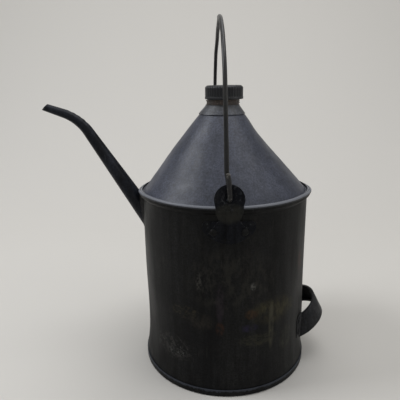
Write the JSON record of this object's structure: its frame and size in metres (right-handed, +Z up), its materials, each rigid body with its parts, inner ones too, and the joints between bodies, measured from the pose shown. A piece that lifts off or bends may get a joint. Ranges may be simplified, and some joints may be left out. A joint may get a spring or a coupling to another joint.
{
  "type": "oil filler can",
  "caption": "Cylindrical sheet-metal oil can with a conical top, screw-capped filler neck, long bent spout, swinging wire bail and a low strap handle for tipping.",
  "frame": {"origin": "the can's axis on the plane that its foot stands on", "axes": "+Z up along the can's axis; the spout points along -X and the strap handle along +X; the bail's ears face -Y and +Y"},
  "size_m": [0.2716, 0.1804, 0.3316],
  "materials": {
    "body_paint": "worn satin black over tinplate",
    "bottom_paint": "worn satin black",
    "cone_paint": "worn satin slate grey",
    "neck_tinplate": "rusty tinplate",
    "cap_plastic": "satin black plastic",
    "liner_board": "plain pulp board",
    "ear_paint": "worn satin black",
    "rivet_steel": "worn satin black over steel",
    "bail_steel": "dull worn black",
    "spout_paint": "worn satin blue-black",
    "solder": "dull painted solder",
    "strap_paint": "worn satin black"
  },
  "bodies": {
    "can": {"body_wall": "body_paint", "bottom_plate": "bottom_paint", "cone_top": "cone_paint", "neck_collar": "cone_paint", "filler_neck": "neck_tinplate", "front_ear": "ear_paint", "rear_ear": "ear_paint", "front_ear_rivets": "rivet_steel", "rear_ear_rivets": "rivet_steel", "spout_tube": "spout_paint", "spout_solder": "solder", "strap_handle": "strap_paint", "strap_rivets": "rivet_steel"},
    "bail": {"bail_wire": "bail_steel"},
    "liner": {"cap_liner": "liner_board"},
    "cap": {"screw_cap": "cap_plastic"}
  },
  "joints": [
    {"name": "bail_swing", "type": "hinge", "parent": "can", "child": "bail", "pos_m": [0, 0, 0.186], "axis": [0, 1, 0], "range_deg": [-61, 102]},
    {"name": "cap_lift", "type": "slide", "parent": "can", "child": "liner", "axis": [0, 0, 1], "range_m": [0, 0.0064]},
    {"name": "cap_turn", "type": "hinge", "parent": "liner", "child": "cap", "pos_m": [0, 0, 0.265], "axis": [0, 0, 1], "range_deg": [0, 540]}
  ],
  "couplings": [
    {"joint": "cap_lift", "follows": "cap_turn", "m_per_rad": 0.00066845}
  ]
}
